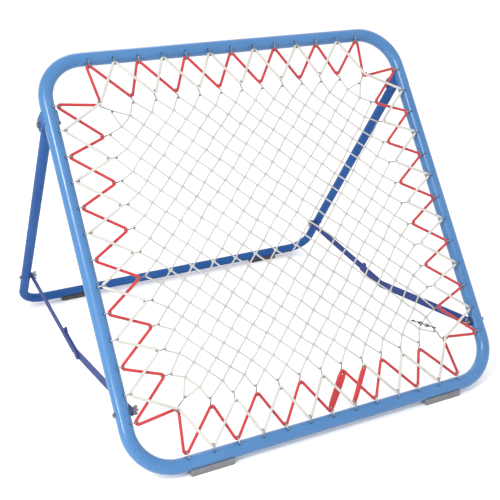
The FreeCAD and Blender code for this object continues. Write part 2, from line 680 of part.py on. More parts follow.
def upright(shape, pull, sideways=0.0, reach=0.0):
    """Stands a hook that lies in the (pull, n) plane on the frame.

    pull is the direction across the frame that the hook's own X axis gets, and the hook's
    Y axis becomes n.  sideways and reach are the place of its origin.
    """
    normal = Vector(0, 0, 1)
    along = normal.cross(pull)
    base = along * sideways + pull * reach
    result = shape.copy()
    result.Placement = Placement(base, Rotation(pull, normal, pull.cross(normal), "XYZ"))
    return result


loop_fit = 0.4  # between a cord and the hook that holds it
HOOK_ENTRY_BEND = 4.0  # centreline radius of a frame hook where it leaves its hole


def frame_hook(cord, level):
    """From inside the tube out through its hole, then round the elastic."""
    loop = size(cord) / 2 + wire_radius + loop_fit
    hole_wall = math.sqrt(tube_radius ** 2 - size("hook_inset") ** 2)
    bends = [(Vector(-size("hook_inset") - HOOK_ENTRY_BEND, hole_wall - 1, 0), -HOOK_ENTRY_BEND),
             (Vector(-size("cord_inset"), size(level), 0), -loop)]
    # The hook is drawn with X pointing outwards, so the net is towards -X.
    path = wrapped_path(bends, math.radians(90), math.radians(20))
    start = path.Edges[0].valueAt(path.Edges[0].FirstParameter)
    tail = Part.LineSegment(start - Vector(0, 5, 0), start).toShape()
    return rod(Part.Wire([tail] + path.Edges), size("hook_wire"))


def link_hook(outer, outer_turn, inner, inner_turn):
    """An S-shaped hook between two cords: each end curls round its own cord."""
    path = wrapped_path([(outer, outer_turn), (inner, inner_turn)],
                        math.radians(-30), math.radians(-30))
    return rod(path, size("hook_wire"))


def side_directions():
    """Outward direction of each side, going clockwise from the top one."""
    return [Vector(0, 1, 0), Vector(1, 0, 0), Vector(0, -1, 0), Vector(-1, 0, 0)]


def side_places(count, pitch, first):
    """Signed places along one side: every second one, from the first."""
    return [(step - count // 2) * pitch for step in range(first, count, 2)]


HOOKED_BEND = 3.0  # half the width of a border loop where it bends round its hook
CORNER_BEND = 4.5  # the same at a corner hook
NET_LOOP = 4.5  # centreline radius of a net hook's inner curl
CORNER_LOOP = 11.4  # centreline radius of a corner hook's outer loop, which holds two cords
corner_reach = 510.0  # middle of the corner hook's outer loop, along the diagonal
corner_net_reach = corner_reach - 25  # the net's corner loop, along the diagonal
corner_cord_reach = corner_reach + 4.5  # the elastics' bends in the corner hook


def make_hooks():
    for colour, first in (("red", 0), ("white", 1)):
        cord, level = f"{colour}_cord", f"{colour}_level"
        hook = frame_hook(cord, level)
        places = side_places(HOOKS_PER_SIDE, size("hook_pitch"), first)
        group(f"{colour}_frame_hooks",
              [upright(hook, pull, place, half_side) for pull in side_directions() for place in places],
              FRAME_PLACE)
        loop = size(cord) / 2 + wire_radius + loop_fit
        outer = Vector(size("ring_reach"), size(level), 0)
        inner = Vector(size("net_reach"), size("net_level"), 0)
        ring = link_hook(outer, loop, inner, -NET_LOOP)
        places = side_places(RINGS_PER_SIDE, size("ring_pitch"), first)
        group(f"{colour}_net_hooks",
              [upright(ring, pull, place) for pull in side_directions() for place in places],
              FRAME_PLACE)
    middle_level = (size("red_level") + size("white_level")) / 2
    corner = link_hook(Vector(corner_reach, middle_level, 0), CORNER_LOOP,
                       Vector(corner_net_reach, size("net_level"), 0), -NET_LOOP)
    diagonals = [Vector(a, b, 0).normalize() for a in (-1, 1) for b in (-1, 1)]
    group("corner_net_hooks", [upright(corner, pull) for pull in diagonals], FRAME_PLACE)


def make_corner_chain():
    """Three S-links that draw a slack mesh of the lower right corner to its hook."""
    start, end = Vector(337, -333, 0), Vector(283, -303, 0)
    links, loop, wire = 3, 4.0, 2.2
    direction = (end - start).normalize()
    total = (end - start).Length
    length = (total - (links - 1) * loop) / links
    shapes = []
    for count in range(links):
        first = Vector(0, 0, 0)
        second = Vector(length, 0, 0)
        path = wrapped_path([(first, loop), (second, -loop)], math.radians(-40), math.radians(-40))
        link = rod(path, wire)
        base = start + direction * count * (length + loop) + Vector(0, 0, 21)
        normal = Vector(0, 0, 1)
        if count % 2 == 0:
            turn = Rotation(direction, normal, direction.cross(normal), "XYZ")
        else:
            turn = Rotation(direction, normal.cross(direction), normal, "XYZ")
        link.Placement = Placement(base, turn)
        shapes.append(link)
    group("corner_chain", shapes, FRAME_PLACE)


# ---------------------------------------------------------------- elastics and net

def elastic_bends(first, cord, corner_turn):
    """The bends of one elastic all the way round, clockwise from the top left corner."""
    turn = size(cord) / 2 + wire_radius + loop_fit
    hooks = side_places(HOOKS_PER_SIDE, size("hook_pitch"), first)
    rings = side_places(RINGS_PER_SIDE, size("ring_pitch"), first)
    bends = []
    for pull in side_directions():
        along = Vector(pull.y, -pull.x, 0)
        corner = (pull - along).normalize() * (corner_cord_reach + corner_turn)
        bends.append((corner, -corner_turn))
        for step, place in enumerate(hooks):
            bends.append((along * place + pull * (half_side - size("cord_inset") - turn), turn))
            if step < len(rings):
                ring = rings[step]
                bends.append((along * ring + pull * (size("ring_reach") + turn), -turn))
    return bends


def make_elastic(label, first, cord, level, corner_turn, splice):
    """One open cord round the frame; splice is the bend at which it starts."""
    bends = elastic_bends(first, cord, corner_turn)
    order = bends[splice:] + bends[:splice]
    start = tangent_angle(*bends[splice - 1], *bends[splice])
    path = wrapped_path(order, start, start)
    path.translate(Vector(0, 0, size(level)))
    group(label, [rod(path, size(cord))], FRAME_PLACE)
    print(f"{label}: {path.Length:.0f} mm, diameter {size(cord)}")


def make_wrap(label, start, end, start_width, end_width, level, thickness):
    """Many turns of elastic between a frame hook and a net hook, as one plain block."""
    direction = (end - start).normalize()
    across = Vector(-direction.y, direction.x, 0)
    corners = [start + across * (start_width / 2), end + across * (end_width / 2),
               end - across * (end_width / 2), start - across * (start_width / 2)]
    outline = Part.Face(Part.makePolygon(corners + corners[:1]))
    block = outline.extrude(Vector(0, 0, thickness))
    block.translate(Vector(0, 0, level - thickness / 2))
    group(label, [block], FRAME_PLACE)


def net_node(across, up):
    """A knot of the net, counted in half diamonds from its middle.

    The border knots are pulled out to their hooks, which stand a little further apart.
    """
    half = size("net_pitch") / 2
    last = NET_DIAMONDS
    x, y = across * half, up * half
    if abs(up) == last:
        x, y = across / 2 * size("ring_pitch"), math.copysign(size("net_reach"), up)
    elif abs(across) == last:
        x, y = math.copysign(size("net_reach"), across), up / 2 * size("ring_pitch")
    return Vector(x, y, 0)


def knot_points(across, up):
    """A knot inside the net is one point; a border loop bends round its hook at two."""
    knot = net_node(across, up)
    if max(abs(across), abs(up)) < NET_DIAMONDS:
        return [knot]
    if abs(up) == NET_DIAMONDS:
        clockwise = Vector(math.copysign(1, up), 0, 0)
    else:
        clockwise = Vector(0, -math.copysign(1, across), 0)
    return [knot - clockwise * HOOKED_BEND, knot + clockwise * HOOKED_BEND]


def offset_polygon(points, distance):
    """Moves every side of a clockwise polygon outwards and joins them with mitres."""
    count = len(points)
    lines = []
    for index in range(count):
        start, end = points[index], points[(index + 1) % count]
        heading = (end - start).normalize()
        outwards = Vector(-heading.y, heading.x, 0)
        lines.append((start + outwards * distance, heading))
    moved = []
    for index in range(count):
        (point_a, heading_a), (point_b, heading_b) = lines[index - 1], lines[index]
        cross = heading_a.x * heading_b.y - heading_a.y * heading_b.x
        gap = point_b - point_a
        reach = (gap.x * heading_b.y - gap.y * heading_b.x) / cross
        moved.append(point_a + heading_a * reach)
    return moved


def closed_wire(points):
    return Part.makePolygon(points + points[:1])


def corner_tip():
    """The two bends of the cord that runs round the upper right corner hook."""
    tip = Vector(1, 1, 0).normalize() * corner_net_reach
    across = Vector(-1, 1, 0).normalize() * CORNER_BEND
    return [tip + across, tip - across]


def make_net():
    """A diamond mesh cut from one flat lattice, with a loop at each corner."""
    last, half_cord = NET_DIAMONDS, size("net_cord") / 2
    holes = []
    for up in range(1 - last, last):
        for across in range(1 - last, last):
            outside = abs(across) == abs(up) == last - 1
            if (across + up) % 2 == 0 and not outside:
                cell = (knot_points(across - 1, up) + knot_points(across, up + 1)
                        + knot_points(across + 1, up) + knot_points(across, up - 1))
                holes.append(closed_wire(offset_polygon(cell, -half_cord)))
    edge = []
    corner_hole = [net_node(last - 2, last - 1)] + corner_tip() + [net_node(last - 1, last - 2)]
    for turn in range(4):
        spin = Rotation(Vector(0, 0, 1), -90 * turn)
        for step in range(2 - last, last - 1):
            level = last if step % 2 == 0 else last - 1
            edge += [spin.multVec(point) for point in knot_points(step, level)]
        edge += [spin.multVec(point) for point in corner_tip()]
        holes.append(closed_wire([spin.multVec(point)
                                  for point in offset_polygon(corner_hole, -half_cord)]))
    border = closed_wire(offset_polygon(edge, half_cord))
    outline = Part.makeFace([border] + holes, "Part::FaceMakerBullseye")
    lattice = outline.extrude(Vector(0, 0, size("net_cord")))
    lattice.translate(Vector(0, 0, size("net_level") - half_cord))
    if lattice.Volume < 0:
        lattice.reverse()
    group("net", [lattice], FRAME_PLACE)


# ---------------------------------------------------------------- the whole object

make_front_frame()
make_rear_stand()
for side, side_name in ((-1, "left"), (1, "right")):
    for outwards, layer_name in ((1, "outer"), (-1, "inner")):
        make_ear(f"{side_name}_{layer_name}_pivot_ear", side, outwards)
    make_leg_plug(f"{side_name}_leg_plug", side)
    front_stay = make_stay(f"{side_name}_front_stay", front_hinge, front_stay_layer, side,
                           "front_stay_width", (0, "0"))
    add_bent_tail(front_stay, f"{side_name}_front_stay", side)
    make_stay(f"{side_name}_rear_stay", rear_hinge, rear_stay_layer, side,
              "rear_stay_width", (size("rear_stay_tail"), "Sizes.rear_stay_tail"))
    make_foot(f"{side_name}_front_foot", side * size("foot_place"),
              Vector(0, bottom_bar_y, size("bar_height")), "Sizes.tube_diameter / 2",
              "Sizes.foot_length", "Sizes.foot_depth", "Sizes.foot_top")
    make_foot(f"{side_name}_rear_foot", side * size("pad_place"),
              Vector(0, bottom_bar_y + rear_bar_depth, size("rear_bar_height")),
              "Sizes.stand_diameter / 2", "Sizes.pad_length", "Sizes.stand_diameter", "Sizes.pad_top")
make_fasteners()
make_hooks()
make_corner_chain()
bottom_cord = -(half_side - size("cord_inset"))
bottom_ring = -size("ring_reach")
# Both cords start and end at the bottom bar, where the two wraps bridge their ends.
# The bottom side is travelled from right to left.
BENDS_PER_SIDE_RED, BENDS_PER_SIDE_WHITE = 14, 12
make_elastic("red_elastic", 0, "red_cord", "red_level", 5.9, 2 * BENDS_PER_SIDE_RED + 7)
make_elastic("white_elastic", 1, "white_cord", "white_level", 5.3, 2 * BENDS_PER_SIDE_WHITE + 5)
make_net()
make_wrap("wide_red_wrap", Vector(4, bottom_cord + 11, 0), Vector(53, bottom_ring - 9, 0),
          13, 20, size("red_level"), size("red_cord"))
make_wrap("narrow_red_wrap", Vector(size("hook_pitch") + 4, bottom_cord + 10, 0),
          Vector(2 * size("ring_pitch") - 5, bottom_ring - 9, 0),
          10, 11, size("white_level"), size("white_cord"))

doc.recompute()
for item in doc.Objects:
    if "Invalid" in item.State or "Error" in item.State:
        raise RuntimeError(f"{item.Label} is {item.State}")
for piece in parts:
    shape = piece.Shape
    if shape.isNull() or not shape.isValid() or not shape.Solids:
        raise RuntimeError(f"{piece.Label} has no valid solid")

os.makedirs("parts", exist_ok=True)
for piece in parts:
    piece.Shape.exportStep(f"parts/{piece.Label}.step")
print(f"{len(parts)} sub-parts written")
for name, place in (("pivot", pivot), ("front_hinge", front_hinge), ("rear_hinge", rear_hinge),
                    ("middle rivet", rivet)):
    print(name, [round(value, 3) for value in place], "mm")
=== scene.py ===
import json
import math
import random

import bpy
from mathutils import Matrix, Vector


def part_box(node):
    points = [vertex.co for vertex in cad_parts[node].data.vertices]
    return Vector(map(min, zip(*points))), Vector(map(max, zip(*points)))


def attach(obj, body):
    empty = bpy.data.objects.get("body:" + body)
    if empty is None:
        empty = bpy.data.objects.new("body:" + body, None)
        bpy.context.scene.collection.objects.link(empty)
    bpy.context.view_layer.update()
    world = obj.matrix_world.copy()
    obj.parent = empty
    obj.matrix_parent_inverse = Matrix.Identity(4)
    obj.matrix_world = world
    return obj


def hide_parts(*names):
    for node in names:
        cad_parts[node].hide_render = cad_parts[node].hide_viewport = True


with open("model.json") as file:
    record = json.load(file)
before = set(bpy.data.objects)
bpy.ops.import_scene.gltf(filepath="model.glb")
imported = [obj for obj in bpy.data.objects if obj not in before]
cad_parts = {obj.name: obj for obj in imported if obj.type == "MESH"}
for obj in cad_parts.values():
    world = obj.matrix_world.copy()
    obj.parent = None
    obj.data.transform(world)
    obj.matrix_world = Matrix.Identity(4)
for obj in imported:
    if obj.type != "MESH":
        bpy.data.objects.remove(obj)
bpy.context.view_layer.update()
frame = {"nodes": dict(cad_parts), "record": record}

# Pitch back rebounder.  Metres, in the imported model's own frame: +Z up, +Y to the rear.
# The net frame's own axes are u (to the right), v (up the slope) and n (to the front).

MM = 0.001
draw = random.Random(55)

# ------------------------------------------------------------ places taken from the frame

FRAME_SLOPE = math.radians(55)
frame_low, frame_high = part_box("front_frame")
FRAME = (Matrix.Translation((frame_low + frame_high) / 2)
         @ Matrix.Rotation(FRAME_SLOPE, 4, "X"))
TUBE_RADIUS = 17 * MM
HALF_SIDE = (frame_high.x - frame_low.x) / 2 - TUBE_RADIUS

HOOKS_PER_SIDE, HOOK_PITCH = 13, 61.3 * MM
RINGS_PER_SIDE, RING_PITCH = 11, 57 * MM
CORD_INSET = 22 * MM
RING_REACH = 376 * MM
WIRE_RADIUS = 1.4 * MM
LOOP_FIT = 0.4 * MM
RED = {"radius": 3.75 * MM, "level": 9.5 * MM, "first": 0, "corner_turn": 5.9 * MM}
WHITE = {"radius": 3.5 * MM, "level": 17.3 * MM, "first": 1, "corner_turn": 5.3 * MM}
CORNER_CORD_REACH = 514.5 * MM

NET_LEVEL = 12 * MM
NET_RADIUS = 2.0 * MM
NET_HALF_PITCH = 27.3 * MM
NET_DIAMONDS = 13
NET_HOOK_REACH = 356 * MM  # wire of a net hook where it passes through the net
NET_CORNER_HOOK_REACH = 480.5 * MM  # the same at a corner, along the diagonal


# ------------------------------------------------------------ material helpers

class Shader:
    """A node material that starts from a Principled shader."""

    def __init__(self, name, color, roughness, metallic=0.0, **sockets):
        self.material = bpy.data.materials.new(name)
        self.material.use_nodes = True
        self.tree = self.material.node_tree
        self.surface = self.tree.nodes["Principled BSDF"]
        self.surface.inputs["Base Color"].default_value = (*color, 1)
        self.surface.inputs["Roughness"].default_value = roughness
        self.surface.inputs["Metallic"].default_value = metallic
        for socket, value in sockets.items():
            self.surface.inputs[socket.replace("_", " ")].default_value = value

    def node(self, kind, **values):
        made = self.tree.nodes.new(f"ShaderNode{kind}")
        for key, value in values.items():
            if key in made.inputs:
                made.inputs[key].default_value = value
            else:
                setattr(made, key, value)
        return made

    def link(self, source, target):
        self.tree.links.new(source, target)

    def coordinates(self, kind):
        return self.node("TexCoord").outputs[kind]

    def noise(self, scale, detail):
        texture = self.node("TexNoise", Scale=scale, Detail=detail)
        self.link(self.coordinates("Object"), texture.inputs["Vector"])
        return texture.outputs["Fac"]

    def ramp(self, source, stops):
        """Maps 0 to 1 through a list of (place, grey)."""
        made = self.node("ValToRGB")
        elements = made.color_ramp.elements
        while len(elements) < len(stops):
            elements.new(0.5)
        for element, (place, value) in zip(elements, stops):
            element.position = place
            element.color = (value, value, value, 1)
        self.link(source, made.inputs["Fac"])
        return made.outputs["Color"]

    def mix(self, amount, first, second):
        """Colour between two colours or sockets."""
        made = self.node("Mix", data_type="RGBA")
        for index, value in ((6, first), (7, second)):
            if isinstance(value, tuple):
                made.inputs[index].default_value = (*value, 1)
            else:
                self.link(value, made.inputs[index])
        self.link(amount, made.inputs[0])
        return made.outputs[2]

    def color(self, source):
        self.link(source, self.surface.inputs["Base Color"])

    def roughness(self, source):
        self.link(source, self.surface.inputs["Roughness"])

    def bump(self, source, distance, strength):
        made = self.node("Bump", Strength=strength, Distance=distance)
        self.link(source, made.inputs["Height"])
        self.link(made.outputs["Normal"], self.surface.inputs["Normal"])


def painted(name, color, darker, roughness, gloss):
    """Powder coat on steel tube: faint mottling, orange peel and a few scuffs."""
    shader = Shader(name, color, roughness, Specular_IOR_Level=0.5 * gloss + 0.05, Coat_Weight=gloss,
                    Coat_Roughness=0.17, Coat_IOR=1.35)
    mottle = shader.ramp(shader.noise(9, 4), [(0.35, 0.0), (0.7, 1.0)])
    base = shader.mix(mottle, color, darker)
    scuffs = shader.ramp(shader.noise(160, 6), [(0.68, 0.0), (0.76, 1.0)])
    lighter = tuple(min(1.0, channel * 1.35 + 0.03) for channel in color)
    shader.color(shader.mix(scuffs, base, lighter))
    shader.roughness(shader.ramp(shader.noise(60, 4), [(0.3, roughness - 0.06), (0.7, roughness + 0.1)]))
    shader.bump(shader.noise(1100, 2), 0.05 * MM, 0.6)
    return shader.material


def plated(name, color, roughness, tarnish):
    """Zinc plate: dull grey clouds on bright metal, with fine brushing."""
    shader = Shader(name, color, roughness, metallic=1.0)
    clouds = shader.ramp(shader.noise(220, 5), [(0.42, 0.0), (0.68, 1.0)])
    shader.color(shader.mix(clouds, color, tarnish))
    shader.roughness(shader.ramp(shader.noise(500, 3), [(0.3, roughness - 0.08), (0.7, roughness + 0.12)]))
    shader.bump(shader.noise(2600, 2), 0.03 * MM, 0.5)
    return shader.material


def braided(name, light, groove_shade, strands, pitch):
    """Woven cord sheath: two sets of strands cross, laid out by the mesh's UV map, with painted shade in the
    grooves between strands.

    U runs round the cord and V along it, in turns and in metres.
    """
    shader = Shader(name, light, 0.72, Sheen_Weight=0.35, Sheen_Roughness=0.5)
    split = shader.node("SeparateXYZ")
    shader.link(shader.coordinates("UV"), split.inputs["Vector"])
    around = shader.node("Math", operation="MULTIPLY")
    around.inputs[1].default_value = strands * 2 * math.pi
    shader.link(split.outputs["X"], around.inputs[0])
    along = shader.node("Math", operation="MULTIPLY")
    along.inputs[1].default_value = 2 * math.pi / pitch
    shader.link(split.outputs["Y"], along.inputs[0])
    waves = []
    for operation in ("ADD", "SUBTRACT"):
        lay = shader.node("Math", operation=operation)
        shader.link(around.outputs[0], lay.inputs[0])
        shader.link(along.outputs[0], lay.inputs[1])
        wave = shader.node("Math", operation="SINE")
        shader.link(lay.outputs[0], wave.inputs[0])
        waves.append(wave.outputs[0])
    weave = shader.node("Math", operation="MULTIPLY")
    shader.link(waves[0], weave.inputs[0])
    shader.link(waves[1], weave.inputs[1])
    height = shader.node("MapRange")
    height.inputs["From Min"].default_value = -1
    shader.link(weave.outputs[0], height.inputs["Value"])
    grain = shader.noise(900, 4)
    stain = shader.ramp(shader.noise(14, 4), [(0.35, 0.0), (0.75, 1.0)])
    middle = tuple((a + b) / 2 for a, b in zip(light, groove_shade))
    cloth = shader.mix(stain, light, middle)
    # painted shade: where the weave is low, between strands, the colour goes to the darker second colour
    shader.color(shader.mix(shader.ramp(height.outputs[0], [(0.0, 1.0), (0.42, 0.0)]), cloth, groove_shade))
    relief = shader.node("Math", operation="ADD")
    shader.link(height.outputs[0], relief.inputs[0])
    shader.link(grain, relief.inputs[1])
    shader.bump(relief.outputs[0], 0.35 * MM, 0.8)
    return shader.material


def moulded(name, color, roughness, grain):
    """Rubber or moulded plastic, with patches of dust all over."""
    shader = Shader(name, color, roughness)
    dust = shader.ramp(shader.noise(70, 6), [(0.45, 0.0), (0.8, 1.0)])
    dusty = tuple(channel * 0.75 + 0.09 for channel in color)
    shader.color(shader.mix(dust, color, dusty))
    shader.roughness(shader.ramp(shader.noise(180, 3), [(0.3, roughness - 0.1), (0.7, roughness + 0.08)]))
    shader.bump(shader.noise(grain, 3), 0.12 * MM, 0.7)
    return shader.material


MATERIALS = {
    "blue_paint": painted("blue_powder_coat", (0.052, 0.170, 0.375), (0.040, 0.145, 0.335), 0.32, 0.55),
    # the stand's blue is the frame's blue made darker and duller: the darker colour is painted shade, and the
    # duller gloss is its finish
    "stand_paint": painted("stand_blue_painted_shade", (0.020, 0.085, 0.27), (0.016, 0.070, 0.235), 0.45, 0.06),
    "stay_paint": painted("violet_blue_paint", (0.036, 0.058, 0.20), (0.032, 0.048, 0.165), 0.5, 0.0),
    "zinc_steel": plated("zinc_plate", (0.33, 0.333, 0.337), 0.28, (0.14, 0.14, 0.14)),
    "dark_steel": plated("dark_oxide_steel", (0.10, 0.095, 0.09), 0.42, (0.05, 0.045, 0.04)),
    # the second colour of each braid is painted shade for the grooves of its weave
    "red_elastic": braided("red_braid", (0.56, 0.022, 0.028), (0.22, 0.004, 0.007), 6, 7 * MM),
    "white_elastic": braided("white_braid", (0.60, 0.58, 0.535), (0.32, 0.31, 0.29), 6, 6 * MM),
    "net_cord": braided("twisted_nylon", (0.50, 0.485, 0.445), (0.27, 0.26, 0.24), 3, 5 * MM),
    "grey_rubber": moulded("grey_rubber", (0.165, 0.165, 0.175), 0.7, 700),
    "black_rubber": moulded("black_rubber", (0.020, 0.020, 0.022), 0.62, 900),
    "plug_plastic": moulded("black_cap_plastic", (0.02, 0.02, 0.022), 0.45, 1200),
}


def dress_cad_nodes():
    """Every carried-over CAD node gets its slot's finished material."""
    for subpart in frame["record"]["subparts"]:
        node = frame["nodes"][subpart["node"]]
        for place in node.material_slots:
            place.material = MATERIALS[subpart["material_slot"]]


# ------------------------------------------------------------ mesh helpers

def new_piece(name, vertices, faces, uvs, slot, body):
    """A mesh piece, in the row frame, that rides on a body and takes a slot's finish."""
    mesh = bpy.data.meshes.new(name)
    mesh.from_pydata(vertices, [], faces)
    layer = mesh.uv_layers.new(name="UVMap")
    layer.data.foreach_set("uv", [value for face in uvs for corner in face for value in corner])
    mesh.polygons.foreach_set("use_smooth", [True] * len(mesh.polygons))
    mesh.update()
    piece = bpy.data.objects.new(name, mesh)
    bpy.context.scene.collection.objects.link(piece)
    mesh.materials.append(MATERIALS[slot])
    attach(piece, body)
    return piece


class Strands:
    """Collects swept cords into one mesh, with U round the cord and V along it."""

    def __init__(self):
        self.vertices, self.faces, self.uvs = [], [], []

    def sweep(self, path, radius, sides=10, lobes=0, depth=0.0, twist=0.0, braid=False, swell=None):
        """Sweeps a round or lobed section along a path and closes both ends.

        twist is the length of one turn of the lobes; a braid's lobes cross both ways.
        swell, where given, has one factor of the radius for each point of the path.
        """
        base = len(self.vertices)
        heading = (path[1] - path[0]).normalized()
        across = heading.orthogonal().normalized()
        along = 0.0
        lengths = []
        for index, point in enumerate(path):
            before = path[max(index - 1, 0)]
            after = path[min(index + 1, len(path) - 1)]
            turned = (after - before).normalized()
            across = (heading.rotation_difference(turned) @ across).normalized()
            across = (across - turned * across.dot(turned)).normalized()
            heading = turned
            along += (point - before).length
            lengths.append(along)
            up = heading.cross(across)
            for side in range(sides):
                angle = 2 * math.pi * side / sides
                phase = 2 * math.pi * along / twist if twist else 0.0
                if braid:
                    relief = math.sin(lobes * angle + phase) * math.sin(lobes * angle - phase)
                    reach = radius * (1 - depth * (0.5 - 0.5 * relief))
                elif lobes:
                    reach = radius * (1 - depth * (1 - abs(math.cos(lobes * angle / 2 - phase))))
                else:
                    reach = radius
                if swell:
                    reach *= swell[index]
                self.vertices.append(point + (across * math.cos(angle) + up * math.sin(angle)) * reach)
        for ring in range(len(path) - 1):
            for side in range(sides):
                following = (side + 1) % sides
                low, high = base + ring * sides, base + (ring + 1) * sides
                self.faces.append((low + side, low + following, high + following, high + side))
                left, right = side / sides, (side + 1) / sides
                self.uvs.append(((left, lengths[ring]), (right, lengths[ring]),
                                 (right, lengths[ring + 1]), (left, lengths[ring + 1])))
        last = base + (len(path) - 1) * sides
        self.faces.append(tuple(reversed(range(base, base + sides))))
        self.faces.append(tuple(range(last, last + sides)))
        for along in (lengths[0], lengths[-1]):
            self.uvs.append(tuple((side / sides, along) for side in range(sides)))

    def finish(self, name, slot, body):
        return new_piece(name, self.vertices, self.faces, self.uvs, slot, body)


def spaced(points, step):
    """The same run of points with none further apart than step."""
    result = [points[0]]
    for start, end in zip(points, points[1:]):
        count = max(1, math.ceil((end - start).length / step))
        result += [start.lerp(end, part / count) for part in range(1, count + 1)]
    return result


def on_frame(points, level):
    """Points in the frame's u, v plane, moved to the row frame."""
    return [FRAME @ Vector((point.x, point.y, level)) for point in points]


# ------------------------------------------------------------ cords round hooks

def tangent_angle(centre_a, turn_a, centre_b, turn_b):
    """Direction of the straight run between two round bends; a turn is + if clockwise."""
    across = centre_b - centre_a
    return math.atan2(across.y, across.x) - math.asin((turn_a - turn_b) / across.length)


def wrapped_points(bends, start_angle, end_angle, arc_step=math.radians(15)):
    """Points along the tight line round a list of (centre, turn)."""
    angles = [start_angle]
    angles += [tangent_angle(*here, *following) for here, following in zip(bends, bends[1:])]
    angles.append(end_angle)
    points = []
    for (centre, turn), come, go in zip(bends, angles, angles[1:]):
        swing = (go - come) % (2 * math.pi)
        if turn > 0:
            swing -= 2 * math.pi
        count = max(2, math.ceil(abs(swing) / arc_step))
        for part in range(count + 1):
            angle = come + swing * part / count
            points.append(centre + Vector((-math.sin(angle), math.cos(angle))) * turn)
    return points


SIDES = [Vector((0, 1)), Vector((1, 0)), Vector((0, -1)), Vector((-1, 0))]


def side_places(count, pitch, first):
    return [(step - count // 2) * pitch for step in range(first, count, 2)]


def elastic_bends(cord):
    """One elastic's bends all the way round, clockwise from the top left corner."""
    turn = cord["radius"] + WIRE_RADIUS + LOOP_FIT
    hooks = side_places(HOOKS_PER_SIDE, HOOK_PITCH, cord["first"])
    rings = side_places(RINGS_PER_SIDE, RING_PITCH, cord["first"])
    bends = []
    for pull in SIDES:
        along = Vector((pull.y, -pull.x))
        corner = (pull - along).normalized() * (CORNER_CORD_REACH + cord["corner_turn"])
        bends.append((corner, -cord["corner_turn"]))
        for step, place in enumerate(hooks):
            bends.append((along * place + pull * (HALF_SIDE - CORD_INSET - turn), turn))
            if step < len(rings):
                bends.append((along * rings[step] + pull * (RING_REACH + turn), -turn))
    return bends


ELASTIC_LAY = 9 * MM  # length of one turn of the braid


def make_elastic(name, cord, splice, slot):
    """The braided elastic, from the bend where it starts, all the way round the frame."""
    bends = elastic_bends(cord)
    order = bends[splice:] + bends[:splice]
    start = tangent_angle(*bends[splice - 1], *bends[splice])
    route = wrapped_points(order, start, start)
    step = 1.3 * MM
    path = spaced(on_frame(route, cord["level"]), step)
    strands = Strands()
    strands.sweep(path, cord["radius"], sides=20, lobes=5, depth=0.16, twist=ELASTIC_LAY, braid=True)
    piece = strands.finish(f"{name}_cord", slot, "frame")
    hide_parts(name)


# ------------------------------------------------------------ net

NET_SWAY = 1.8 * MM  # how far a knot is off its place, each way
NET_BOW = 1.2 * MM  # how far a run between two knots leaves the straight line, at most
NET_LAY = 13 * MM  # length of one turn of the cord's three strands
KNOT_SIZE = 3.3 * MM
KNOT_RISE = 1.2 * MM  # how far a knot's loop stands out of the net's plane
BORDER_FIT = 0.15 * MM  # between a border loop and the wire of its hook


def net_knot(across, up):
    """A knot of the net, counted in half diamonds from its middle, slightly uneven."""
    sway = Vector((draw.uniform(-1, 1), draw.uniform(-1, 1))) * NET_SWAY
    return Vector((across * NET_HALF_PITCH, up * NET_HALF_PITCH)) + sway


def twisted(strands, route):
    """One length of twisted net cord."""
    strands.sweep(on_frame(route, NET_LEVEL), NET_RADIUS, sides=10, lobes=3, depth=0.24, twist=NET_LAY)


def tie_knot(strands, place, heading):
    """A small overhand knot: a loop of cord that crosses itself over the strands."""
    across = Vector((-heading.y, heading.x))
    path = []
    turns, steps = 1.25, 22
    for step in range(steps + 1):
        angle = 2 * math.pi * turns * step / steps
        reach = KNOT_SIZE * (0.72 + 0.28 * math.cos(2 * angle))
        flat = place + heading * math.cos(angle) * reach + across * math.sin(angle) * reach
        path.append(FRAME @ Vector((flat.x, flat.y, NET_LEVEL + KNOT_RISE * math.sin(1.5 * angle))))
    strands.sweep(path, NET_RADIUS * 0.9, sides=9)


def bow(start, end, count, slack):
    """A run between two knots that leaves the straight line by slack in the middle."""
    across = Vector((-(end - start).y, (end - start).x)).normalized()
    return [start.lerp(end, part / count) + across * slack * math.sin(math.pi * part / count)
            for part in range(count + 1)]


def border_loop(strands, start, hook, end, steps):
    """Cord from one knot, round the wire of its hook and back to the next knot."""
    bend = WIRE_RADIUS + NET_RADIUS + BORDER_FIT
    bends = [(start, 0.0), (hook, bend), (end, 0.0)]
    arc = wrapped_points([bends[1]], tangent_angle(*bends[0], *bends[1]), tangent_angle(*bends[1], *bends[2]))
    twisted(strands, bow(start, arc[0], steps, 0) + arc[1:-1] + bow(arc[-1], end, steps, 0))


def make_net():
    """The knotted diamonds, their loops round the net hooks and one long loop at each corner."""
    last = NET_DIAMONDS
    knots = {(across, up): net_knot(across, up)
             for across in range(1 - last, last) for up in range(1 - last, last)
             if (across + up) % 2}
    strands = Strands()
    steps = 24
    for (across, up), knot in knots.items():
        for side in (-1, 1):
            neighbour = knots.get((across + side, up + 1))
            if neighbour is not None:
                twisted(strands, bow(knot, neighbour, steps, draw.uniform(-1, 1) * NET_BOW))
        tie_knot(strands, knot, Vector((1, draw.uniform(-0.4, 0.4))).normalized())

    def knot_at(place):
        return knots[round(place.x), round(place.y)]

    for pull in SIDES:
        along = Vector((pull.y, -pull.x))
        for step in range(3 - last, last - 1, 2):
            hook = along * (step / 2 * RING_PITCH) + pull * NET_HOOK_REACH
            start, end = (knot_at(along * (step + side) + pull * (last - 1)) for side in (-1, 1))
            border_loop(strands, start, hook, end, steps)
        start = knot_at(along * (last - 2) + pull * (last - 1))
        end = knot_at(along * (last - 1) + pull * (last - 2))
        border_loop(strands, start, (pull + along).normalized() * NET_CORNER_HOOK_REACH, end, steps)
    piece = strands.finish("net_mesh", "net_cord", "frame")
    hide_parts("net")


# ------------------------------------------------------------ wraps of elastic

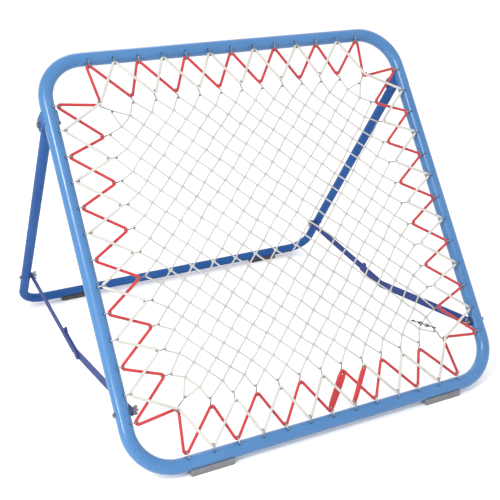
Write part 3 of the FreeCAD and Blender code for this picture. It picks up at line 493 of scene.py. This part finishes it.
WRAP_STRAND = 2.0 * MM
WRAP_LAYER = 1.9 * MM  # each layer's middle, from the wrap's own
WRAP_GATHER = 11 * MM  # length over which a turn draws in towards its wire
WRAP_LAY = 8 * MM  # length of one turn of the braid
WRAP_SWAY = 0.4 * MM
WRAP_TIGHT = 0.62  # share of its free radius that a turn keeps round a wire
WRAP_END = 0.16  # share of a turn's run over which it swells to its free radius
WRAP_ARC_STEPS = 12


def wrap_route(foot, head, widths, bends, count):
    """One turn of a wrap: up one side, round the upper wire, back and round the lower one."""
    direction = (head - foot).normalized()
    across = Vector((-direction.y, direction.x))
    route = []
    for side, start, end, bend in ((1, foot, head, bends[1]), (-1, head, foot, bends[0])):
        for part in range(count + 1):
            share = part / count if side > 0 else 1 - part / count
            free = min(1.0, min(share, 1 - share) * (head - foot).length / WRAP_GATHER)
            free = free * free * (3 - 2 * free)
            half = widths[0] + (widths[1] - widths[0]) * share
            pinched = bends[0] if share < 0.5 else bends[1]
            route.append((share, start.lerp(end, part / count)
                          + across * side * (pinched + (half - pinched) * free)))
        for part in range(1, WRAP_ARC_STEPS):
            angle = math.pi * part / WRAP_ARC_STEPS
            route.append((route[-1][0], end + (across * math.cos(angle) + direction * math.sin(angle))
                          * side * bend))
    return route + route[:1]


def make_wrap(name, foot, head, level, turns):
    """Turns of elastic round the wires of a frame hook and a net hook, in two layers.

    turns has each turn's half widths (foot, head) and its bend radii (foot, head), in mm.
    """
    strands = Strands()
    count = 70
    for widths, bends in turns:
        for layer in (-1, 1):
            route = wrap_route(foot, head, [value * MM for value in widths],
                               [value * MM for value in bends], count)
            phases = [draw.uniform(0, 6) for _ in range(2)]
            path, swell = [], []
            for share, point in route:
                free = min(1.0, min(share, 1 - share) / WRAP_END)
                swell.append(WRAP_TIGHT + (1 - WRAP_TIGHT) * free)
                sway = [math.sin(share * 7 + phase) * WRAP_SWAY * free for phase in phases]
                height = level + layer * WRAP_LAYER * swell[-1] + sway[0]
                path.append(FRAME @ Vector((point.x + sway[1], point.y, height)))
            strands.sweep(path, WRAP_STRAND, sides=16, lobes=4, depth=0.14, twist=WRAP_LAY, braid=True,
                          swell=swell)
    piece = strands.finish(f"{name}_turns", "red_elastic", "frame")
    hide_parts(name)


# ------------------------------------------------------------ welds and threads

PIVOT_UP = 347 * MM  # stand pivot, up the frame from its centre
EAR_FACE = 16 * MM  # inner faces of the two ears, from the side tube's axis
EAR_FRONT = 3 * MM
WELD_LENGTH = 31 * MM
WELD_RADIUS = 1.5 * MM
WELD_RIPPLE = 2.2 * MM  # from one ripple of a bead to the next
WELD_WANDER = 0.15 * MM
WELD_TAPER = 0.15  # share of each half of a bead that tapers off


def make_welds():
    """Rippled beads that join the four pivot ears to the side tubes."""
    beads = Strands()
    step = 0.7 * MM
    for side in (-1, 1):
        for face in (-1, 1):
            edge = math.sqrt(TUBE_RADIUS ** 2 - EAR_FRONT ** 2) + 0.7 * MM
            root = math.sqrt(TUBE_RADIUS ** 2 - EAR_FACE ** 2) + 0.8 * MM
            for across, level in ((edge, EAR_FRONT + 0.4 * MM), (EAR_FACE - 0.4 * MM, -root)):
                count = round(WELD_LENGTH / step)
                path, swell = [], []
                for part in range(count + 1):
                    up = PIVOT_UP + (part / count - 0.5) * WELD_LENGTH
                    wander = draw.uniform(-1, 1) * WELD_WANDER
                    path.append(FRAME @ Vector((side * HALF_SIDE + face * (across + wander), up, level)))
                    swell.append(1 + 0.16 * math.sin(2 * math.pi * part * step / WELD_RIPPLE)
                                 - 0.4 * max(0.0, abs(2 * part / count - 1) - 1 + WELD_TAPER) / WELD_TAPER)
                beads.sweep(path, WELD_RADIUS, sides=12, swell=swell)
    beads.finish("ear_welds", "blue_paint", "frame")


THREAD_REACH = 2.95 * MM  # from the bolt's axis to the middle of the ridge
THREAD_RIDGE = 0.3 * MM
THREAD_PITCH = 1 * MM
THREAD_RUN = 0.7 * MM  # only at the tip: 6.6 mm of bolt is bare past a nut's hub


def make_threads(name, node, body, shank_end):
    """Part of a turn of thread at the tip of each of two stay bolts."""
    low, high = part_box(node)
    middle = (low + high) / 2
    ridge = Strands()
    steps = 20
    for side in (-1, 1):
        path = []
        for part in range(round(THREAD_RUN / THREAD_PITCH * steps) + 1):
            angle = 2 * math.pi * part / steps
            across = shank_end + part / steps * THREAD_PITCH
            path.append(Vector((side * across, middle.y + THREAD_REACH * math.cos(angle),
                                middle.z + THREAD_REACH * math.sin(angle))))
        ridge.sweep(path, THREAD_RIDGE, sides=6)
    ridge.finish(name, "zinc_steel", body)


# ------------------------------------------------------------ stage, lights and camera

def make_stage():
    mesh = bpy.data.meshes.new("studio_floor")
    reach = 14
    mesh.from_pydata([(-reach, -reach, 0), (reach, -reach, 0), (reach, reach, 0), (-reach, reach, 0)],
                     [], [(0, 1, 2, 3)])
    floor = bpy.data.objects.new("studio_floor", mesh)
    bpy.context.scene.collection.objects.link(floor)
    mesh.materials.append(Shader("pale_floor", (0.94, 0.94, 0.94), 0.8).material)
    world = bpy.data.worlds.new("studio")
    world.use_nodes = True
    world.node_tree.nodes["Background"].inputs["Color"].default_value = (1, 1, 1, 1)
    world.node_tree.nodes["Background"].inputs["Strength"].default_value = 1.08
    bpy.context.scene.world = world


def make_light(name, place, target, energy, size):
    light = bpy.data.lights.new(name, "AREA")
    light.energy, light.size = energy, size
    lamp = bpy.data.objects.new(name, light)
    lamp.location = place
    lamp.rotation_mode = "QUATERNION"
    lamp.rotation_quaternion = (Vector(target) - Vector(place)).to_track_quat("-Z", "Y")
    bpy.context.scene.collection.objects.link(lamp)


def make_camera():
    """Left of the front, a little above the frame's top, turned to the right."""
    place = Vector((-1.0134, -2.1586, 1.2584))
    forward = Vector((0.4505, 0.8131, -0.3687)).normalized()
    right = Vector((0.8764, -0.4815, 0.0089))
    right = (right - forward * right.dot(forward)).normalized()
    up = right.cross(forward)
    data = bpy.data.cameras.new("camera")
    data.sensor_width, data.lens = 36, 68.7
    data.shift_x, data.shift_y = -0.0976, -0.0236
    data.clip_end = 60
    camera = bpy.data.objects.new("camera", data)
    turn = Matrix((right, up, -forward)).transposed()
    camera.matrix_world = Matrix.Translation(place) @ turn.to_4x4()
    bpy.context.scene.collection.objects.link(camera)
    bpy.context.scene.camera = camera


# ------------------------------------------------------------ the whole scene

dress_cad_nodes()
make_elastic("red_elastic", RED, 2 * 14 + 7, "red_elastic")
make_elastic("white_elastic", WHITE, 2 * 12 + 5, "white_elastic")
make_net()
WIDE_TURNS = [((1.9, 1.9), (2.6, 2.8)), ((4.3, 5.4), (4.0, 5.0)), ((5.6, 8.0), (5.2, 7.0))]
NARROW_TURNS = [((1.9, 1.9), (2.6, 2.8)), ((3.6, 4.2), (3.8, 4.2))]
for name, cord, step, turns in (("wide_red_wrap", RED, 0, WIDE_TURNS),
                                ("narrow_red_wrap", WHITE, 1, NARROW_TURNS)):
    loop = cord["radius"] + WIRE_RADIUS + LOOP_FIT
    make_wrap(name, Vector((step * HOOK_PITCH, CORD_INSET + loop - HALF_SIDE)),
              Vector(((step + 1) * RING_PITCH, -RING_REACH - loop)), cord["level"], turns)
make_welds()
make_threads("front_bolt_threads", "front_stay_bolts", "frame", 446.95 * MM)
make_threads("rear_bolt_threads", "rear_stay_bolts", "stand", 450.95 * MM)
make_stage()
middle = (frame_low + frame_high) / 2
make_light("key", (-2.6, -2.0, 3.4), middle, 95, 0.9)
make_light("fill", (3.0, -2.6, 2.0), middle, 4, 1.2)
make_light("glint", (-1.26, -0.86, 0.49), (-0.48, -0.42, 0.14), 3.2, 0.14)
make_light("back", (0.5, 3.2, 3.0), middle, 25, 1.6)
make_camera()
bpy.context.scene.view_settings.view_transform = "Standard"
